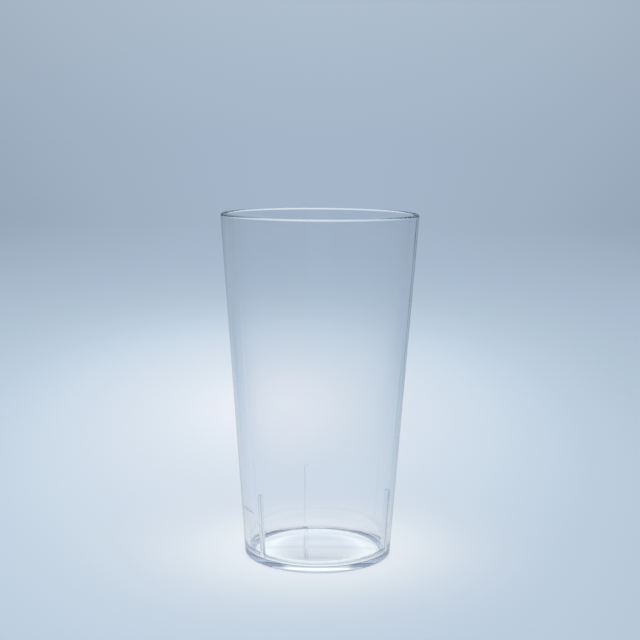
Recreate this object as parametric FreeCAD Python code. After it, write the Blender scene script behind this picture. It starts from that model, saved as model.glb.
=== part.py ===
import FreeCAD, Part
import math
import os

# Clear plastic tumbler, moulded in one piece: a tapered wall, a floor and three stacking ribs.
# Millimetres, +Z up along the cup's axis, origin at the middle of the face it stands on.

# Cup body
height = 145.0
rim_outer_radius = 41.4
foot_outer_radius = 31.0
wall = 2.2
floor = 1.6

# Rounded edges
lip_radius = 0.95
heel_radius = 0.4
corner_radius = 4.0

# The floor rises gently from its corner and rounds off over the middle
floor_slope = 1.5
crown_radius = 18.0

# Stacking ribs, which carry the foot of a second cup before the two tapers jam
rib_count = 3
rib_top = 30.0
rib_width = 1.6
rib_reach_top = 1.8
rib_reach_floor = 1.4
rib_round = 0.7
first_rib_angle = 90.0

# Worked out from the sizes above
taper = math.atan2(rim_outer_radius - foot_outer_radius, height)
wall_across = wall / math.cos(taper)
slope = math.radians(floor_slope)
crown_rise = crown_radius * math.tan(slope / 2.0)


def outer_radius(z):
    return foot_outer_radius + z * math.tan(taper)


def inner_radius(z):
    return outer_radius(z) - wall_across


def crown_edge():
    # Height at which the sloping floor meets its rounded middle
    return floor + (inner_radius(floor) - crown_radius) * math.tan(slope)


def point(radius, z):
    return FreeCAD.Vector(radius, 0.0, z)


def rounded_outline(corners):
    # Closed wire through (radius, z, corner radius) points, each corner rounded by a tangent arc
    count = len(corners)
    edges = []
    ends = []
    for i in range(count):
        before = point(*corners[i - 1][:2])
        here = point(*corners[i][:2])
        after = point(*corners[(i + 1) % count][:2])
        size = corners[i][2]
        if size == 0.0:
            ends.append((here, here, here))
            continue
        towards_before = (before - here).normalize()
        towards_after = (after - here).normalize()
        half_angle = towards_before.getAngle(towards_after) / 2.0
        setback = size / math.tan(half_angle)
        bisector = (towards_before + towards_after).normalize()
        centre = here + bisector * (size / math.sin(half_angle))
        start = here + towards_before * setback
        finish = here + towards_after * setback
        ends.append((start, centre - bisector * size, finish))
    for i in range(count):
        start, middle, finish = ends[i]
        if start != finish:
            edges.append(Part.Arc(start, middle, finish).toShape())
        edges.append(Part.LineSegment(finish, ends[(i + 1) % count][0]).toShape())
    return Part.Wire(edges)


def turned(outline):
    # The section on one side of the axis, turned once around it
    return Part.Face(outline).revolve(FreeCAD.Vector(0, 0, 0), FreeCAD.Vector(0, 0, 1), 360.0)


def cup_body():
    corners = [
        (0.0, 0.0, 0.0),
        (foot_outer_radius, 0.0, heel_radius),
        (rim_outer_radius, height, lip_radius),
        (inner_radius(height), height, lip_radius),
        (inner_radius(floor), floor, corner_radius),
        (crown_radius, crown_edge(), 0.0),
        (0.0, crown_edge(), 0.0),
    ]
    return turned(rounded_outline(corners))


def floor_crown():
    # The rounded middle of the floor, let into it by half the floor's thickness
    cap_radius = crown_radius / math.sin(slope)
    half_way = point(cap_radius * math.sin(slope / 2.0), 0.0)
    half_way.z = crown_edge() + cap_radius * (math.cos(slope / 2.0) - math.cos(slope))
    edge = point(crown_radius, crown_edge())
    top = point(0.0, crown_edge() + crown_rise)
    below = point(0.0, floor / 2.0)
    below_edge = point(crown_radius, floor / 2.0)
    outline = Part.Wire([
        Part.Arc(edge, half_way, top).toShape(),
        Part.LineSegment(top, below).toShape(),
        Part.LineSegment(below, below_edge).toShape(),
        Part.LineSegment(below_edge, edge).toShape(),
    ])
    return turned(outline)


def stacking_rib():
    # A thin fin against the wall with a rounded ridge, rooted in the wall and the floor
    root = wall / 2.0
    foot = floor - root
    ridge_top = inner_radius(rib_top) - rib_reach_top
    ridge_floor = inner_radius(floor) - rib_reach_floor
    side = [
        (inner_radius(rib_top) + root, rib_top, 0.0),
        (ridge_top, rib_top, 0.0),
        (ridge_floor, foot, 0.0),
        (inner_radius(foot) + root, foot, 0.0),
    ]
    face = Part.Face(rounded_outline(side))
    face.translate(FreeCAD.Vector(0, -rib_width / 2.0, 0))
    fin = face.extrude(FreeCAD.Vector(0, rib_width, 0))
    nose = [edge for edge in fin.Edges if any(abs(v.X - ridge_top) < 0.01 for v in edge.Vertexes)]
    return fin.makeFillet(rib_round, nose)


def tumbler():
    cup = cup_body().fuse(floor_crown())
    rib = stacking_rib()
    for i in range(rib_count):
        placed = rib.copy()
        angle = first_rib_angle + 360.0 * i / rib_count
        placed.rotate(FreeCAD.Vector(0, 0, 0), FreeCAD.Vector(0, 0, 1), angle)
        cup = cup.fuse(placed)
    return cup.removeSplitter()


os.makedirs("parts", exist_ok=True)
shape = tumbler()
shape.exportStep("parts/tumbler.step")
print("tumbler", shape.isValid(), len(shape.Solids), round(shape.Volume, 1), shape.BoundBox)
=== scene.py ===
import bpy
import bmesh
import math
from mathutils import Matrix, Vector


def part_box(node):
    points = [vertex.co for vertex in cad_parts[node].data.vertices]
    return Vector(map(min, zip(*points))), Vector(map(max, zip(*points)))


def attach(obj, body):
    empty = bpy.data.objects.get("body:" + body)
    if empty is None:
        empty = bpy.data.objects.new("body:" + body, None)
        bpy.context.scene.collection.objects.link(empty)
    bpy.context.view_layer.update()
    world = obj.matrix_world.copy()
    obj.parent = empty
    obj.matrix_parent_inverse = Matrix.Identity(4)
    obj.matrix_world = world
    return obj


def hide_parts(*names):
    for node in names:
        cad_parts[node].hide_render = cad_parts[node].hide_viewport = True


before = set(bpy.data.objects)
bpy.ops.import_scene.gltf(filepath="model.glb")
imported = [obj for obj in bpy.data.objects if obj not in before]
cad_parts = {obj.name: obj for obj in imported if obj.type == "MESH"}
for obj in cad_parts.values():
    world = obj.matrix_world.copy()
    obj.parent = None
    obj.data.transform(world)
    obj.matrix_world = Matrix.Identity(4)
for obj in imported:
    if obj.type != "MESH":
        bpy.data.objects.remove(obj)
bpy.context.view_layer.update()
print("frame loaded")


# Small helpers for node trees

def addNode(tree, kind, **settings):
    # A node with its settings; inputs may be given by name or number
    node = tree.nodes.new(kind)
    inputs = settings.pop("inputs", {})
    for name, value in settings.items():
        setattr(node, name, value)
    for name, value in inputs.items():
        if isinstance(value, bpy.types.NodeSocket):
            tree.links.new(value, node.inputs[name])
        else:
            node.inputs[name].default_value = value
    return node


def addMath(tree, operation, first, second=0.0, third=0.0, clamp=False):
    inputs = {0: first, 1: second, 2: third}
    return addNode(tree, "ShaderNodeMath", operation=operation, use_clamp=clamp, inputs=inputs).outputs[0]


def addMix(tree, share, first, second, blend="MIX"):
    # Colour mix; share 0 gives the first colour
    inputs = {0: share, 6: first, 7: second}
    return addNode(tree, "ShaderNodeMix", data_type="RGBA", blend_type=blend, inputs=inputs).outputs[2]


def addShade(tree, colour, level):
    # Colour multiplied by a plain number
    grey = addNode(tree, "ShaderNodeCombineColor", inputs={0: level, 1: level, 2: level})
    return addMix(tree, 1.0, colour, grey.outputs[0], blend="MULTIPLY")


def addRange(tree, value, low, high, toLow=0.0, toHigh=1.0, smooth=False):
    inputs = {"Value": value, "From Min": low, "From Max": high, "To Min": toLow, "To Max": toHigh}
    kind = "SMOOTHSTEP" if smooth else "LINEAR"
    return addNode(tree, "ShaderNodeMapRange", interpolation_type=kind, inputs=inputs).outputs[0]


def addDistance(tree, x, y):
    # Distance from the middle of a level plane
    flat = addNode(tree, "ShaderNodeCombineXYZ", inputs={0: x, 1: y}).outputs[0]
    return addNode(tree, "ShaderNodeVectorMath", operation="LENGTH", inputs={0: flat}).outputs["Value"]


def addNoise(tree, place, scale, detail):
    inputs = {"Vector": place, "Scale": scale, "Detail": detail}
    return addNode(tree, "ShaderNodeTexNoise", inputs=inputs).outputs[0]


def addRamp(tree, value, stops, reach=1.0, curve="LINEAR"):
    # Colour ramp whose stops are (place, linear colour), with places up to reach
    node = addNode(tree, "ShaderNodeValToRGB", inputs={0: addMath(tree, "DIVIDE", value, reach)})
    node.color_ramp.interpolation = curve
    elements = node.color_ramp.elements
    elements.remove(elements[-1])
    for i, (place, colour) in enumerate(stops):
        stop = elements[0] if i == 0 else elements.new(place / reach)
        stop.position = place / reach
        stop.color = colour
    return node.outputs[0]


def shown(colour):
    # A colour as shown on screen (0 to 255), turned to linear light by the usual screen curve
    linear = []
    for value in colour:
        v = value / 255.0
        linear.append(v / 12.92 if v <= 0.04045 else ((v + 0.055) / 1.055) ** 2.4)
    return (*linear, 1.0)


def shownStops(stops):
    # Ramp stops whose colours are given as shown
    return [(place, shown(colour)) for place, colour in stops]


# Clear cup. Lengths in metres, angles in degrees.

cup = {
    "rimRadius": 0.0414,
    "footRadius": 0.0310,
    "wall": 0.0022,
    "floor": 0.0016,
    "lipRadius": 0.00095,
    "heelRadius": 0.0004,
    "cornerRadius": 0.0040,
    "floorSlope": 1.5,
    "crownRadius": 0.0180,  # inside this the floor rounds over
    "ribAngles": (90.0, 210.0, 330.0),
    "ribTop": 0.030,
    "ribHalfWidth": 0.0008,
    "ribReachTop": 0.0018,
    "ribReachFloor": 0.0014,
    "ribNose": 0.0006,  # rounding at a rib's top
    "heelSteps": 12,  # faces over each rounding
    "lipSteps": 16,
    "cornerSteps": 24,
    "crownSteps": 40,
    "ribSteps": 8,
    "rowStep": 0.006,  # longest face of a straight run
    "rowMargin": 0.00015,  # how close to its ends a straight run has its first and last rows
    "rowsAbove": (0.0006, 0.0002, 0.00008, 0.00004),  # heights over a rib's top
    "columnsBeside": (0.00004, 0.0002, 0.0006, 0.0012, 0.0022),  # distances from a rib's side
    "columns": 438,  # around the cup, besides the ribs' own
    "ribClear": 8.0,  # angle either side of a rib left to its own columns
    "skewFrom": 0.026,  # inside this radius columns keep their angles
    "loose": 0.000001,  # lengths closer than this count as equal
}
cup["height"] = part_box("tumbler")[1].z
cup["taper"] = (cup["rimRadius"] - cup["footRadius"]) / cup["height"]  # outward for each metre up


def outerRadius(z):
    return cup["footRadius"] + z * cup["taper"]


def innerRadius(z):
    return outerRadius(z) - cup["wall"] * math.sqrt(1.0 + cup["taper"] ** 2)


def roundedCorner(before, corner, after, radius, steps):
    # Points of the tangent arc that rounds a corner of the section
    before, corner, after = Vector(before), Vector(corner), Vector(after)
    back = (before - corner).normalized()
    ahead = (after - corner).normalized()
    half = back.angle(ahead) / 2.0
    centre = corner + (back + ahead).normalized() * radius / math.sin(half)
    first = corner + back * radius / math.tan(half) - centre
    last = corner + ahead * radius / math.tan(half) - centre
    sweep = first.angle_signed(last)
    points = []
    for i in range(steps + 1):
        turned = first.copy()
        turned.rotate(Matrix.Rotation(-sweep * i / steps, 2))
        points.append(tuple(centre + turned))
    return points


def cupSection():
    # Half section from the underside's centre, up the outside, over the lip and down to the floor
    slope = math.radians(cup["floorSlope"])
    corner = innerRadius(cup["floor"])
    crownEdge = cup["floor"] + (corner - cup["crownRadius"]) * math.tan(slope)
    rounded = [
        ((cup["footRadius"], 0.0), cup["heelRadius"], cup["heelSteps"]),
        ((cup["rimRadius"], cup["height"]), cup["lipRadius"], cup["lipSteps"]),
        ((innerRadius(cup["height"]), cup["height"]), cup["lipRadius"], cup["lipSteps"]),
        ((corner, cup["floor"]), cup["cornerRadius"], cup["cornerSteps"]),
    ]
    path = [(0.0, 0.0), *[place for place, radius, steps in rounded], (cup["crownRadius"], crownEdge)]
    rows = [path[0]]
    for before, (place, radius, steps), after in zip(path, rounded, path[2:]):
        rows += roundedCorner(before, place, after, radius, steps)
    ball = cup["crownRadius"] / math.sin(slope)
    for i in range(cup["crownSteps"], -1, -1):
        turn = slope * i / cup["crownSteps"]
        rows.append((ball * math.sin(turn), crownEdge + ball * (math.cos(turn) - math.cos(slope))))
    return rows


def heldRuns(rows):
    # Splits each long straight run, with a row close to either end to hold the shading
    margin = cup["rowMargin"]
    held = [rows[0]]
    for first, second in zip(rows, rows[1:]):
        a, b = Vector(first), Vector(second)
        run = (b - a).length - 2.0 * margin
        if run > 2.0 * margin:
            spans = math.ceil(run / cup["rowStep"])
            for k in range(spans + 1):
                held.append(tuple(a.lerp(b, (margin + run * k / spans) / (run + 2.0 * margin))))
        held.append(second)
    return held


def withRibRows(rows):
    # Adds rows down the inner wall where the ribs' rounded tops need them
    top, nose, steps = cup["ribTop"], cup["ribNose"], cup["ribSteps"]
    heights = [top + rise for rise in cup["rowsAbove"]]
    heights += [top - nose * (1.0 - math.cos(0.5 * math.pi * i / steps)) for i in range(steps + 1)]
    heights.append(top - 2.0 * nose)
    full = [rows[0]]
    for first, second in zip(rows, rows[1:]):
        if abs(second[0] - innerRadius(second[1])) < cup["loose"]:
            full += [(innerRadius(z), z) for z in heights if first[1] > z > second[1]]
        full.append(second)
    return full


def ribColumns():
    # Sideways offsets of the columns that draw one rib
    half, steps = cup["ribHalfWidth"], cup["ribSteps"]
    right = [half * math.sin(0.5 * math.pi * i / steps) for i in range(steps + 1)]
    right += [half + extra for extra in cup["columnsBeside"]]
    return [-t for t in reversed(right[1:])] + right


def cupColumns():
    # Each column is an angle, a sideways offset and whether it may lift into a rib
    ribs = sorted(cup["ribAngles"])
    count = cup["columns"] // len(ribs)
    columns = []
    for i, angle in enumerate(ribs):
        columns += [(angle, offset, True) for offset in ribColumns()]
        gap = (ribs[(i + 1) % len(ribs)] - angle) % 360.0 - 2.0 * cup["ribClear"]
        for k in range(count):
            columns.append((angle + cup["ribClear"] + gap * (k + 0.5) / count, 0.0, False))
    return columns


def ribReach(offset, z):
    # How far a rib stands in from the wall at a sideways offset and a height
    half, top, nose = cup["ribHalfWidth"], cup["ribTop"], cup["ribNose"]
    if abs(offset) > half + cup["loose"] or z > top + cup["loose"]:
        return 0.0
    share = (z - cup["floor"]) / (top - cup["floor"])
    reach = cup["ribReachFloor"] + (cup["ribReachTop"] - cup["ribReachFloor"]) * share
    reach -= half - math.sqrt(max(0.0, half ** 2 - offset ** 2))
    over = max(0.0, z - (top - nose))
    reach -= nose - math.sqrt(max(0.0, nose ** 2 - over ** 2))
    return max(0.0, reach)


def cupGrid(mesh):
    # Points of the cup, one list per row; a row on the axis is a single point
    rows = withRibRows(heldRuns(cupSection()))
    lip = max(range(len(rows)), key=lambda i: rows[i][1])
    columns = cupColumns()
    grid = []
    for i, (r, z) in enumerate(rows):
        if r < cup["loose"]:
            grid.append([mesh.verts.new((0.0, 0.0, z))])
            continue
        ring = []
        for angle, offset, onRib in columns:
            turn = math.radians(angle) + offset / max(r, cup["skewFrom"])
            reach = ribReach(offset, z) if onRib and i > lip else 0.0
            radius = min(r, innerRadius(z) - reach) if reach > 0.0 else r
            ring.append(mesh.verts.new((radius * math.cos(turn), radius * math.sin(turn), z)))
        grid.append(ring)
    return grid


def buildCup():
    mesh = bmesh.new()
    grid = cupGrid(mesh)
    for low, high in zip(grid, grid[1:]):
        count = max(len(low), len(high))
        for c in range(count):
            d = (c + 1) % count
            if len(low) == 1:
                mesh.faces.new((low[0], high[d], high[c]))
            elif len(high) == 1:
                mesh.faces.new((low[c], low[d], high[0]))
            else:
                mesh.faces.new((low[c], low[d], high[d], high[c]))
    bmesh.ops.recalc_face_normals(mesh, faces=mesh.faces)
    data = bpy.data.meshes.new("clearCup")
    mesh.to_mesh(data)
    mesh.free()
    data.polygons.foreach_set("use_smooth", [True] * len(data.polygons))
    piece = bpy.data.objects.new("clear_cup", data)
    bpy.context.scene.collection.objects.link(piece)
    print("cup mesh:", len(data.polygons), "faces")
    return piece


# Clear moulded plastic: faint haze and flow waves, and a hairline from use

plastic = {
    "tint": (0.972, 0.980, 0.990, 1.0),
    "paler": (0.984, 0.988, 0.992, 1.0),
    "bend": 1.57,  # index of refraction
    "depthColour": (0.75, 0.85, 0.97, 1.0),
    "depthDensity": 5.0,  # per metre
    "stretch": (1.0, 1.0, 0.25),  # draws clouds and waves out up the wall
    "clouds": (45.0, 3.0),  # scale and detail of each pattern
    "patches": (90.0, 4.0),
    "waves": (60.0, 1.0),
    "cloudRange": (0.35, 0.65),  # where in its pattern the paler tint begins and is full
    "patchRange": (0.45, 0.75),  # the same for haze
    "haze": 0.012,  # roughness of the haziest patches
    "waveHeight": 0.000012,
    "hairlineColour": (0.08, 0.08, 0.08, 1.0),
    "hairlineFade": 0.7,  # share of its half length after which a hairline fades
    "hairlines": (  # angle from the -Y side, height, length and width
        (-75.4, 0.0216, 0.0120, 0.00030),
    ),
}


def flowGroup():
    # Clouds and slow waves drawn out the way the melt flowed, and patches of haze
    tree = bpy.data.node_groups.new("mouldedFlow", "ShaderNodeTree")
    tree.interface.new_socket("Position", in_out="INPUT", socket_type="NodeSocketVector")
    for name in ("Clouds", "Haze", "Waves"):
        tree.interface.new_socket(name, in_out="OUTPUT", socket_type="NodeSocketFloat")
    place = addNode(tree, "NodeGroupInput").outputs["Position"]
    inputs = {"Vector": place, "Scale": plastic["stretch"]}
    drawn = addNode(tree, "ShaderNodeMapping", inputs=inputs).outputs[0]
    clouds = addNoise(tree, drawn, *plastic["clouds"])
    haze = addNoise(tree, place, *plastic["patches"])
    waves = addNoise(tree, drawn, *plastic["waves"])
    out = addNode(tree, "NodeGroupOutput")
    tree.links.new(addRange(tree, clouds, *plastic["cloudRange"]), out.inputs["Clouds"])
    tree.links.new(addRange(tree, haze, *plastic["patchRange"]), out.inputs["Haze"])
    tree.links.new(waves, out.inputs["Waves"])
    return tree


def hairlineGroup():
    # Mask of one level hairline on the outside of the wall, placed by its angle and height
    tree = bpy.data.node_groups.new("hairline", "ShaderNodeTree")
    tree.interface.new_socket("Position", in_out="INPUT", socket_type="NodeSocketVector")
    for name in ("Angle", "Height", "Length", "Width"):
        tree.interface.new_socket(name, in_out="INPUT", socket_type="NodeSocketFloat")
    tree.interface.new_socket("Mask", in_out="OUTPUT", socket_type="NodeSocketFloat")
    given = addNode(tree, "NodeGroupInput").outputs
    x, y, z = addNode(tree, "ShaderNodeSeparateXYZ", inputs={0: given["Position"]}).outputs
    turn = addMath(tree, "ARCTAN2", x, addMath(tree, "MULTIPLY", y, -1.0))
    off = addMath(tree, "SUBTRACT", turn, addMath(tree, "RADIANS", given["Angle"]))
    along = addMath(tree, "ABSOLUTE", addMath(tree, "MULTIPLY", off, cup["footRadius"]))
    share = addMath(tree, "DIVIDE", along, addMath(tree, "DIVIDE", given["Length"], 2.0))
    inside = addRange(tree, share, plastic["hairlineFade"], 1.0, 1.0, 0.0, smooth=True)
    gap = addMath(tree, "ABSOLUTE", addMath(tree, "SUBTRACT", z, given["Height"]))
    across = addMath(tree, "SUBTRACT", 1.0, addMath(tree, "DIVIDE", gap, given["Width"]), clamp=True)
    middle = addMath(tree, "MULTIPLY_ADD", z, cup["taper"], cup["footRadius"] - cup["wall"] / 2.0)
    outside = addMath(tree, "GREATER_THAN", addDistance(tree, x, y), middle)
    mask = addMath(tree, "MULTIPLY", addMath(tree, "MULTIPLY", across, inside), outside)
    out = addNode(tree, "NodeGroupOutput")
    tree.links.new(mask, out.inputs["Mask"])
    return tree


def clearPlastic():
    material = bpy.data.materials.new("clearPlastic")
    material.use_nodes = True
    tree = material.node_tree
    shader = tree.nodes["Principled BSDF"]
    place = addNode(tree, "ShaderNodeTexCoord").outputs["Object"]
    flow = addNode(tree, "ShaderNodeGroup", node_tree=flowGroup(), inputs={"Position": place}).outputs
    colour = addMix(tree, flow["Clouds"], plastic["tint"], plastic["paler"])
    hairline = hairlineGroup()
    for angle, height, length, width in plastic["hairlines"]:
        inputs = {"Position": place, "Angle": angle, "Height": height, "Length": length, "Width": width}
        mark = addNode(tree, "ShaderNodeGroup", node_tree=hairline, inputs=inputs).outputs["Mask"]
        colour = addMix(tree, mark, colour, plastic["hairlineColour"])
    inputs = {"Height": flow["Waves"], "Distance": plastic["waveHeight"]}
    bump = addNode(tree, "ShaderNodeBump", inputs=inputs)
    tree.links.new(colour, shader.inputs["Base Color"])
    tree.links.new(addMath(tree, "MULTIPLY", flow["Haze"], plastic["haze"]), shader.inputs["Roughness"])
    tree.links.new(bump.outputs[0], shader.inputs["Normal"])
    shader.inputs["IOR"].default_value = plastic["bend"]
    shader.inputs["Transmission Weight"].default_value = 1.0
    inputs = {"Color": plastic["depthColour"], "Density": plastic["depthDensity"]}
    depth = addNode(tree, "ShaderNodeVolumeAbsorption", inputs=inputs)
    tree.links.new(depth.outputs[0], tree.nodes["Material Output"].inputs["Volume"])
    return material


clearCup = buildCup()
clearCup.data.materials.append(clearPlastic())
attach(clearCup, "root")
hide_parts("tumbler")
print("cup done")


# Room: a pale round floor, a soft sky and a low lamp, all turned to the photograph's side

room = {
    "turn": -10.4,  # side the photograph was taken from, in degrees from the -Y side
    "mirrorShade": 0.6,  # how bright the room is in reflections
    "sideFade": 2.0,  # how fast the room dims to both sides
    "sideMost": 0.22,  # and by how much at most
}


def turnedPlace(tree, place):
    # Position turned so that Y points straight away from the photograph's side
    turn = (0.0, 0.0, -math.radians(room["turn"]))
    turned = addNode(tree, "ShaderNodeMapping", inputs={"Vector": place, "Rotation": turn})
    return addNode(tree, "ShaderNodeSeparateXYZ", inputs={0: turned.outputs[0]}).outputs


def reflected(tree, path):
    # 1 for light that was last mirrored, 0 for light seen directly or through the plastic
    return addMath(tree, "SUBTRACT", path["Is Glossy Ray"], path["Is Transmission Ray"], clamp=True)


def roomLevel(tree, mirrored):
    # Brightness of the room, which is lower in reflections
    return addRange(tree, mirrored, 0.0, 1.0, 1.0, room["mirrorShade"])


def sideShade(tree, side, strength=1.0):
    # The room is a little dimmer to both sides; side is the sine of the angle off the middle
    fade = addMath(tree, "MULTIPLY", addMath(tree, "MULTIPLY", side, side), room["sideFade"])
    fade = addMath(tree, "MINIMUM", fade, room["sideMost"])
    return addMath(tree, "SUBTRACT", 1.0, addMath(tree, "MULTIPLY", fade, strength))


# Floor, with a painted pool of light behind the cup, and painted light and shade under and about its foot

paleFloor = {
    "radius": 30.0,
    "sides": 128,
    "gap": 0.00004,  # keeps the floor just under the foot
    "evenShare": 0.88,  # how much of the floor's colour ignores shadow
    "fadeFrom": (0.6, 2.5),  # distances between which the side fade sets in
    "poolPlace": (-0.03, 0.30),  # to the side of the cup and behind it
    "poolDeep": 2.5,  # how many times deeper than wide the pool is
    "poolWiden": 0.3,  # share by which it widens with each metre behind the cup
    "poolColours": (  # distance from the pool's middle, colour as shown
        (0.00, (236, 241, 248)),
        (0.03, (232, 237, 246)),
        (0.06, (221, 231, 240)),
        (0.09, (214, 225, 237)),
        (0.13, (205, 219, 232)),
        (0.18, (190, 207, 224)),
        (0.24, (179, 198, 214)),
        (0.32, (172, 190, 209)),
        (0.45, (167, 185, 204)),
        (0.70, (165, 182, 202)),
    ),
    "glowReach": 0.2,  # length of the glow's ramp
    "glowColours": (  # distance from the cup's middle, linear light painted on the floor under and around it; low under the heel ring, a painted contact shadow
        (0.0120, (0.11, 0.08, 0.06, 1.0)),
        (0.0150, (0.16, 0.13, 0.11, 1.0)),
        (0.0180, (0.29, 0.26, 0.22, 1.0)),
        (0.0205, (0.44, 0.43, 0.34, 1.0)),
        (0.0235, (0.44, 0.43, 0.34, 1.0)),
        (0.0268, (0.44, 0.43, 0.34, 1.0)),
        (0.0284, (0.05, 0.02, 0.02, 1.0)),
        (0.0302, (0.05, 0.02, 0.02, 1.0)),
        (0.0315, (0.20, 0.15, 0.12, 1.0)),
        (0.0340, (0.20, 0.15, 0.12, 1.0)),
        (0.0450, (0.149, 0.121, 0.071, 1.0)),
        (0.0600, (0.080, 0.060, 0.038, 1.0)),
        (0.0800, (0.028, 0.015, 0.006, 1.0)),
        (0.1100, (0.000, 0.000, 0.000, 1.0)),
        (0.1400, (0.000, 0.000, 0.000, 1.0)),
    ),
    "leanPlaces": (-0.012, 0.011),  # under the cup, towards the photograph's side and away from it
    "leanShades": (-0.09, 0.19),  # share of painted shade taken or painted light added at these places
    "leanEdge": (0.019, 0.022),  # distances between which this stops
}


def footLean(tree, deep, near):
    # Painted shade and painted light on the floor under the cup: darker towards the side it is seen from,
    # paler away from it
    under = addRange(tree, near, *paleFloor["leanEdge"], 1.0, 0.0, smooth=True)
    lean = addRange(tree, deep, *paleFloor["leanPlaces"], *paleFloor["leanShades"], smooth=True)
    return addMath(tree, "MULTIPLY_ADD", lean, under, 1.0)


def floorColour(tree, place):
    # The painted pool of light, dimmer to both sides far away, with the painted glow added and the
    # painted light and shade under the cup
    side, deep = turnedPlace(tree, place)[:2]
    poolSide, poolBehind = paleFloor["poolPlace"]
    behind = addMath(tree, "MAXIMUM", deep, 0.0)
    widen = addMath(tree, "MULTIPLY_ADD", behind, paleFloor["poolWiden"], 1.0)
    x = addMath(tree, "DIVIDE", addMath(tree, "SUBTRACT", side, poolSide), widen)
    y = addMath(tree, "DIVIDE", addMath(tree, "SUBTRACT", deep, poolBehind), paleFloor["poolDeep"])
    pool = addRamp(tree, addDistance(tree, x, y), shownStops(paleFloor["poolColours"]))
    near = addDistance(tree, side, deep)
    far = addRange(tree, near, *paleFloor["fadeFrom"], smooth=True)
    pool = addShade(tree, pool, sideShade(tree, addMath(tree, "DIVIDE", side, near), far))
    glow = addRamp(tree, near, paleFloor["glowColours"], paleFloor["glowReach"], curve="B_SPLINE")
    lit = addMix(tree, 1.0, pool, glow, blend="ADD")
    return addShade(tree, lit, footLean(tree, deep, near))


def floorMaterial():
    material = bpy.data.materials.new("paleFloor")
    material.use_nodes = True
    tree = material.node_tree
    shader = tree.nodes["Principled BSDF"]
    shader.inputs["Roughness"].default_value = 1.0
    shader.inputs["Specular IOR Level"].default_value = 0.0
    colour = floorColour(tree, addNode(tree, "ShaderNodeTexCoord").outputs["Object"])
    tree.links.new(colour, shader.inputs["Base Color"])
    path = addNode(tree, "ShaderNodeLightPath").outputs
    mirrored = reflected(tree, path)
    inputs = {"Color": colour, "Strength": roomLevel(tree, mirrored)}
    even = addNode(tree, "ShaderNodeEmission", inputs=inputs).outputs[0]
    straight = addMath(tree, "MAXIMUM", path["Is Camera Ray"], path["Is Transmission Ray"])
    share = addMath(tree, "MULTIPLY", straight, paleFloor["evenShare"])
    share = addMath(tree, "MAXIMUM", share, mirrored)
    mix = addNode(tree, "ShaderNodeMixShader", inputs={0: share, 1: shader.outputs[0], 2: even})
    tree.links.new(mix.outputs[0], tree.nodes["Material Output"].inputs["Surface"])
    return material


def buildFloor():
    mesh = bmesh.new()
    bmesh.ops.create_circle(mesh, cap_ends=True, segments=paleFloor["sides"], radius=paleFloor["radius"])
    data = bpy.data.meshes.new("paleFloor")
    mesh.to_mesh(data)
    mesh.free()
    ground = bpy.data.objects.new("pale_floor", data)
    ground.location.z = -paleFloor["gap"]
    bpy.context.scene.collection.objects.link(ground)
    data.materials.append(floorMaterial())


# Sky, in three ramps over the sine of the elevation, with colours as shown

softSky = {
    "farGlow": (  # straight behind the cup
        (0.00, (165, 182, 202)),
        (0.10, (174, 190, 207)),
        (0.13, (60, 76, 112)),
        (0.17, (60, 76, 112)),
        (0.21, (205, 212, 222)),
        (0.275, (208, 215, 224)),
        (0.312, (218, 224, 232)),
        (0.322, (238, 242, 247)),
        (0.365, (238, 242, 247)),
        (0.40, (170, 185, 208)),
        (0.46, (125, 140, 168)),
        (0.75, (125, 140, 168)),
        (1.00, (190, 200, 214)),
    ),
    "farSides": (  # to both sides of that
        (0.00, (165, 182, 202)),
        (0.10, (174, 190, 207)),
        (0.20, (150, 165, 188)),
        (0.36, (168, 182, 205)),
        (0.46, (100, 115, 145)),
        (0.60, (55, 70, 105)),
        (0.78, (60, 75, 110)),
        (1.00, (190, 200, 214)),
    ),
    "nearSide": (  # above and behind the camera
        (0.00, (165, 182, 202)),
        (0.10, (174, 190, 207)),
        (0.40, (215, 224, 234)),
        (0.70, (246, 249, 253)),
        (1.00, (240, 244, 250)),
    ),
    "glowEdge": (0.31, 0.42),  # sines of the angle off the middle between which the far glow ends
    "nearEdge": (0.2, -0.2),  # sines away from the camera between which the near side takes over
}


def buildSky():
    # Pale where it is looked at, dimmer in reflections, plain white as a light for the floor
    world = bpy.data.worlds.new("softSky")
    bpy.context.scene.world = world
    world.use_nodes = True
    tree = world.node_tree
    tree.nodes.clear()
    place = addNode(tree, "ShaderNodeTexCoord").outputs["Generated"]
    side, deep, up = turnedPlace(tree, place)
    farGlow, farSides, nearSide = [
        addRamp(tree, up, shownStops(softSky[name])) for name in ("farGlow", "farSides", "nearSide")
    ]
    flat = addMath(tree, "SQRT", addMath(tree, "SUBTRACT", 1.0, addMath(tree, "MULTIPLY", up, up)))
    off = addMath(tree, "ABSOLUTE", addMath(tree, "DIVIDE", side, flat))
    inGlow = addRange(tree, off, *softSky["glowEdge"], 1.0, 0.0, smooth=True)
    nearShare = addRange(tree, deep, *softSky["nearEdge"], smooth=True)
    colour = addMix(tree, nearShare, addMix(tree, inGlow, farSides, farGlow), nearSide)
    path = addNode(tree, "ShaderNodeLightPath").outputs
    level = addMath(tree, "MULTIPLY", sideShade(tree, side), roomLevel(tree, reflected(tree, path)))
    seen = addNode(tree, "ShaderNodeBackground", inputs={"Color": colour, "Strength": level}).outputs[0]
    white = (1.0, 1.0, 1.0, 1.0)
    plain = addNode(tree, "ShaderNodeBackground", inputs={"Color": white, "Strength": 1.0}).outputs[0]
    bounced = addMath(tree, "MINIMUM", path["Diffuse Depth"], 1.0)
    mix = addNode(tree, "ShaderNodeMixShader", inputs={0: bounced, 1: seen, 2: plain})
    out = addNode(tree, "ShaderNodeOutputWorld")
    tree.links.new(mix.outputs[0], out.inputs["Surface"])


# A wide soft lamp on the far side, which the floor and heel of the cup pass on inside the plastic

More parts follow.
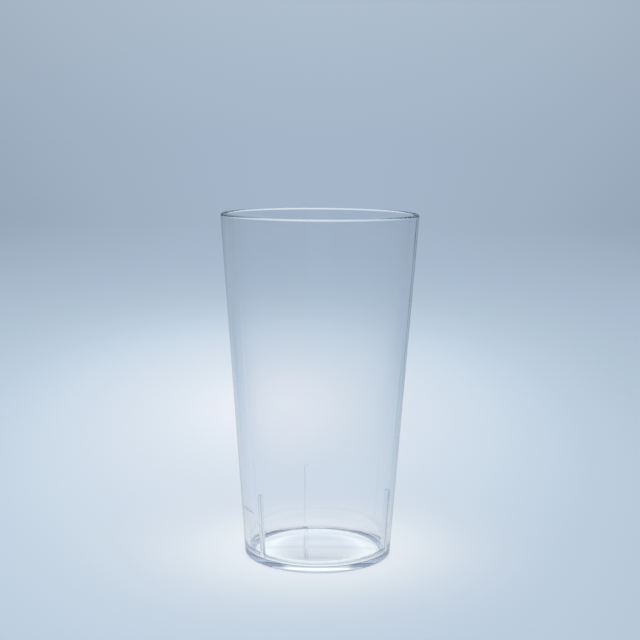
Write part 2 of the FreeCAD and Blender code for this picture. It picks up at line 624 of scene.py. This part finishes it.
softbox = {
    "up": 20.0,  # degrees above the floor, as seen from the cup
    "distance": 1.5,
    "wide": 1.65,
    "high": 0.063,
    "glow": 0.35,  # brightness of its face, where 1 is shown as white
}


def buildSoftbox():
    lamp = bpy.data.lights.new("softbox", "AREA")
    lamp.shape = "RECTANGLE"
    lamp.size = softbox["wide"]
    lamp.size_y = softbox["high"]
    lamp.energy = softbox["glow"] * math.pi * softbox["wide"] * softbox["high"]
    around, up = math.radians(room["turn"]), math.radians(softbox["up"])
    out = Vector((-math.sin(around) * math.cos(up), math.cos(around) * math.cos(up), math.sin(up)))
    box = bpy.data.objects.new("softbox", lamp)
    box.location = out * softbox["distance"]
    box.rotation_mode = "QUATERNION"
    box.rotation_quaternion = out.to_track_quat("Z", "Y")
    box.visible_camera = False
    bpy.context.scene.collection.objects.link(box)


buildFloor()
buildSky()
buildSoftbox()
print("room done")


# Camera, where the photograph was taken from. Lengths in metres, angles in degrees.

view = {
    "distance": 0.5418,  # from the cup's axis
    "height": 0.1773,
    "down": 8.113,
    "roll": 0.434,
    "pan": 0.036,  # to the right of the cup's axis
    "lens": 73.114,  # focal length in millimetres
    "nearest": 0.01,  # what is closer isn't seen
}


def buildCamera():
    lens = bpy.data.cameras.new("photoView")
    lens.lens = view["lens"]
    lens.clip_start = view["nearest"]
    camera = bpy.data.objects.new("photo_view", lens)
    bpy.context.scene.collection.objects.link(camera)
    around = math.radians(room["turn"])
    spin = Matrix.Rotation(around - math.radians(view["pan"]), 4, "Z")
    tip = Matrix.Rotation(math.radians(90.0 - view["down"]), 4, "X")
    roll = Matrix.Rotation(math.radians(view["roll"]), 4, "Z")
    place = Vector((math.sin(around), -math.cos(around), 0.0)) * view["distance"]
    place.z = view["height"]
    camera.matrix_world = Matrix.Translation(place) @ spin @ tip @ roll
    bpy.context.scene.camera = camera


buildCamera()
bpy.context.scene.view_settings.view_transform = "Standard"
print("camera done")


# Light passes many faces of the clear cup before it leaves

lightPath = {"bounces": 128}

cycles = bpy.context.scene.cycles
cycles.max_bounces = lightPath["bounces"]
cycles.transmission_bounces = lightPath["bounces"]
cycles.glossy_bounces = lightPath["bounces"]
